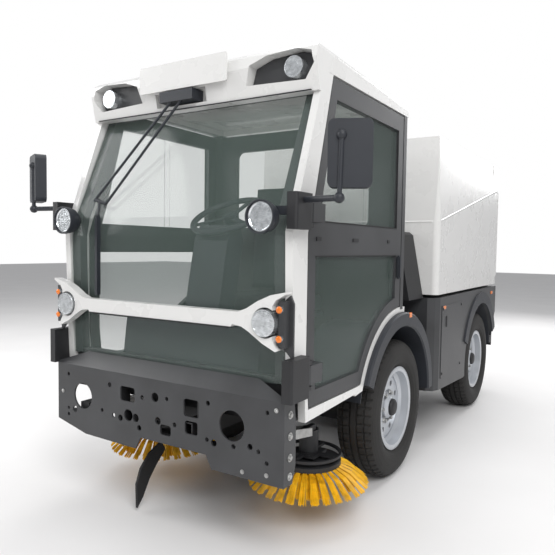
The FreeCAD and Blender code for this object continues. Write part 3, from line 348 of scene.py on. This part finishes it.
WORK_LAMP = Vector((0.542, -1.133, 1.322))
cans = [piece(f"work_lamp_can_{name}", lambda bm: add_work_lamp(bm, side), PLASTIC, "chassis")
        for name, side in (("left", 1), ("right", -1))]
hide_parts("work_lamps")
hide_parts("work_lamps")
for lamp_name, (x, y, z, radius) in LAMP_FACES.items():
    for side_name, side in (("left", 1), ("right", -1)):
        piece(f"{lamp_name}_lens_{side_name}", lambda bm: add_lens(bm, side * x, y, z, radius), LENS, "chassis")
        if lamp_name != "head":
            piece(f"{lamp_name}_bezel_{side_name}", lambda bm: add_bezel(bm, side * x, y, z, radius), PLASTIC,
                  "chassis")
for side_name, side in (("left", 1), ("right", -1)):
    for k, z in enumerate((0.990, 0.884)):
        dome = [(0, 0.0128), (0.003, 0.0128), (0.006, 0.009), (0.0068, 0.003)]
        piece(f"marker_{k}_{side_name}", lambda bm: add_turned(bm, at(side * 0.614, -1.1835, z), (0, -1, 0), dome),
              AMBER, "chassis", smooth=True)
    for k, (y, z) in enumerate(((0.718, 0.848), (2.05, 0.866))):
        piece(f"side_marker_{k}_{side_name}", lambda bm: add_box(
            bm, at(side * 0.6515 - 0.0025, y - 0.03, z - 0.012), at(side * 0.6515 + 0.0028, y + 0.03, z + 0.012)),
              AMBER, "chassis")
    piece(f"repeater_{side_name}", lambda bm: add_box(
        bm, at(side * 0.655 - 0.004, 0.055, 0.845), at(side * 0.655 + 0.004, 0.095, 0.872)), AMBER, "chassis")
    piece(f"tail_lens_{side_name}", lambda bm: add_box(
        bm, at(side * 0.54 - 0.064, 2.229, 0.626), at(side * 0.54 + 0.064, 2.2335, 0.694)), RED, "chassis")
    door = f"door_{side_name}"
    inside, outside = sorted((side * 0.6295, side * 0.6345))
    slots = [(-0.62, -0.56), (-0.95, -0.91), (-0.22, -0.19)]
    piece(f"waist_slots_{side_name}", lambda bm: [add_box(
        bm, at(inside, a, 1.240), at(outside, b, 1.256)) for a, b in slots], BLACK, door)
    piece(f"door_handle_{side_name}", lambda bm: add_box(
        bm, at(min(side * 0.630, side * 0.652), -0.095, 1.06), at(max(side * 0.630, side * 0.652), -0.065, 1.18), 0.008),
          PLASTIC, door)
    flange = [at(side * 0.635, -1.13, z) for z in (0.60, 0.52, 0.44, 0.37 if side > 0 else 0.41)]
    piece(f"flange_bolts_{side_name}", lambda bm: bolts(bm, flange, (side, 0, 0)), STEEL, "chassis")
    hatch_bolts = [at(side * 0.654, y, z) for y in (0.69, 1.108) for z in (0.43, 0.84)]
    piece(f"hatch_screws_{side_name}", lambda bm: bolts(bm, hatch_bolts, (side, 0, 0), 0.006, 0.003), BLACK,
          "chassis")
    piece(f"hatch_latch_{side_name}", lambda bm: add_box(
        bm, at(min(side * 0.654, side * 0.658), 0.752, 0.72), at(max(side * 0.654, side * 0.658), 0.776, 0.79)),
          BLACK, "chassis")
    seal = [((-0.104, 1.318), (-0.098, 1.812)), ((-0.936, 1.314), (-0.098, 1.320)), ((-0.952, 1.176), (-0.098, 1.182))]
    piece(f"window_seals_{side_name}", lambda bm: [add_box(
        bm, at(min(side * 0.627, side * 0.633), a[0], a[1]), at(max(side * 0.627, side * 0.633), b[0], b[1]), 0.001)
        for a, b in seal], RUBBER, door)

plate_bolts = [at(x, -1.170, z) for x, z in ((0.56, 0.37), (0.45, 0.36), (0.60, 0.62), (-0.60, 0.52))]
piece("plate_bolts", lambda bm: bolts(bm, plate_bolts, (0, -1, 0), 0.006, 0.004), STEEL, "chassis")
piece("bar_slit", lambda bm: add_box(bm, at(-0.385, -1.1855, 0.905), at(0.385, -1.150, 0.914)), RUBBER, "chassis")
piece("roof_seam", lambda bm: add_box(bm, at(-0.60, -0.9575, 1.8195), at(0.60, -0.90, 1.8225)), RUBBER, "chassis")
hopper_low, hopper_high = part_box("hopper_door")
piece("hopper_door_ribs", lambda bm: [add_box(
    bm, (x - 0.02, hopper_high.y - 0.019, hopper_low.z + 0.04), (x + 0.02, hopper_high.y - 0.010, hopper_high.z - 0.09),
    0.004) for x in (-0.42, 0, 0.42)], WHITE, "hopper_rear_door")



def add_crease(bm, side):
    """Pressed ridge that runs level across the hopper's front and climbs along its side."""
    high = 0.007
    path = [((0, 0.560, 1.385), (0, -1)), ((0.606, 0.560, 1.385), (0, -1)), ((0.637, 0.571, 1.387), (0.7, -0.7)),
            ((0.650, 0.605, 1.394), (1, 0)), ((0.650, 2.155, 1.715), (1, 0))]
    rings = []
    for (x, y, z), (out_x, out_y) in path:
        ring = []
        for out, rise in ((-0.003, -high * 3), (0.0035, 0.0), (-0.003, high)):
            ring.append(bm.verts.new(at(side * (x + out * out_x), y + out * out_y, z + rise)))
        rings.append(ring)
    for one, two in zip(rings, rings[1:]):
        for k in range(3):
            bm.faces.new((one[k], one[(k + 1) % 3], two[(k + 1) % 3], two[k]))
    bm.faces.new(rings[0])
    bm.faces.new(rings[-1])


for side_name, side in (("left", 1), ("right", -1)):
    piece(f"hopper_crease_{side_name}", lambda bm: add_crease(bm, side), WHITE, "hopper")

for name in ("cab_roof", "hopper_body", "lamp_bar", "side_frames", "wheel_flares", "mirrors", "console"):
    soft = frame["nodes"][name].modifiers.new("round_edges", "BEVEL")
    soft.width = 0.004
    soft.segments = 3
    soft.limit_method = "ANGLE"
    soft.harden_normals = True


# ---------------------------------------------------------------- stage, light and camera
def stage_material(name, color):
    """Pale matt surface."""
    mat = material(name, color, 0.75, vary=0.03, scale=1.5, bump=0.02)
    return mat


def stage_plane(name, size, place, turn, color):
    mesh = bpy.data.meshes.new(name)
    half = size / 2
    mesh.from_pydata([(-half, -half, 0), (half, -half, 0), (half, half, 0), (-half, half, 0)], [], [(0, 1, 2, 3)])
    mesh.materials.append(stage_material(name, color))
    obj = bpy.data.objects.new(name, mesh)
    obj.location = place
    obj.rotation_euler = turn
    bpy.context.scene.collection.objects.link(obj)


stage_plane("floor", 60, (0, 0, 0), (0, 0, 0), (0.80, 0.79, 0.785))


def softbox(name, place, target, size, watts):
    light = bpy.data.lights.new(name, "AREA")
    light.shape = "DISK"
    light.size = size
    light.energy = watts
    obj = bpy.data.objects.new(name, light)
    obj.location = place
    obj.rotation_euler = (Vector(target) - Vector(place)).to_track_quat("-Z", "Y").to_euler()
    bpy.context.scene.collection.objects.link(obj)


softbox("key", (4.5, -5.0, 5.5), (0, 0, 1), 4.0, 340)
softbox("fill", (-6.0, -3.5, 4.0), (0, 0, 1), 5.0, 260)
softbox("top", (0, 1.0, 7.0), (0, 0, 0), 6.0, 260)
softbox("back", (1.0, 7.0, 4.0), (0, 0, 1), 4.0, 160)
world = bpy.data.worlds.new("studio")
world.use_nodes = True
world.node_tree.nodes["Background"].inputs["Color"].default_value = (0.80, 0.81, 0.83, 1)
world.node_tree.nodes["Background"].inputs["Strength"].default_value = 0.55
wires = world.node_tree
sky = wires.nodes.new("ShaderNodeBackground")
sky.inputs["Color"].default_value = (1, 1, 1, 1)
seen = wires.nodes.new("ShaderNodeMath")
seen.operation = "MAXIMUM"
path = wires.nodes.new("ShaderNodeLightPath")
wires.links.new(path.outputs["Is Camera Ray"], seen.inputs[0])
wires.links.new(path.outputs["Is Transmission Ray"], seen.inputs[1])
choice = wires.nodes.new("ShaderNodeMixShader")
wires.links.new(seen.outputs["Value"], choice.inputs["Fac"])
wires.links.new(wires.nodes["Background"].outputs["Background"], choice.inputs[1])
wires.links.new(sky.outputs["Background"], choice.inputs[2])
wires.links.new(choice.outputs["Shader"], wires.nodes["World Output"].inputs["Surface"])
bpy.context.scene.world = world

YAW, PITCH, ROLL = math.radians(32.05), math.radians(3.095), math.radians(0.845)
CLOSER = 2.2
ahead = Vector((-math.sin(YAW) * math.cos(PITCH), math.cos(YAW) * math.cos(PITCH), -math.sin(PITCH)))
level = Vector((math.cos(YAW), math.sin(YAW), 0))
above = level.cross(ahead)
right = level * math.cos(ROLL) + above * math.sin(ROLL)
up = above * math.cos(ROLL) - level * math.sin(ROLL)
camera_data = bpy.data.cameras.new("camera")
camera_data.sensor_width = 36.0
camera_data.lens = 17.0 * CLOSER
camera_data.shift_x = -0.0078
camera_data.shift_y = 0.0019
camera = bpy.data.objects.new("camera", camera_data)
camera.matrix_world = Matrix.Translation((1.707, -2.915 + FRONT_AXLE_Y, 1.213)) @ Matrix(
    (right, up, -ahead)).transposed().to_4x4()
bpy.context.scene.collection.objects.link(camera)
bpy.context.scene.camera = camera
bpy.context.scene.view_settings.view_transform = "Standard"
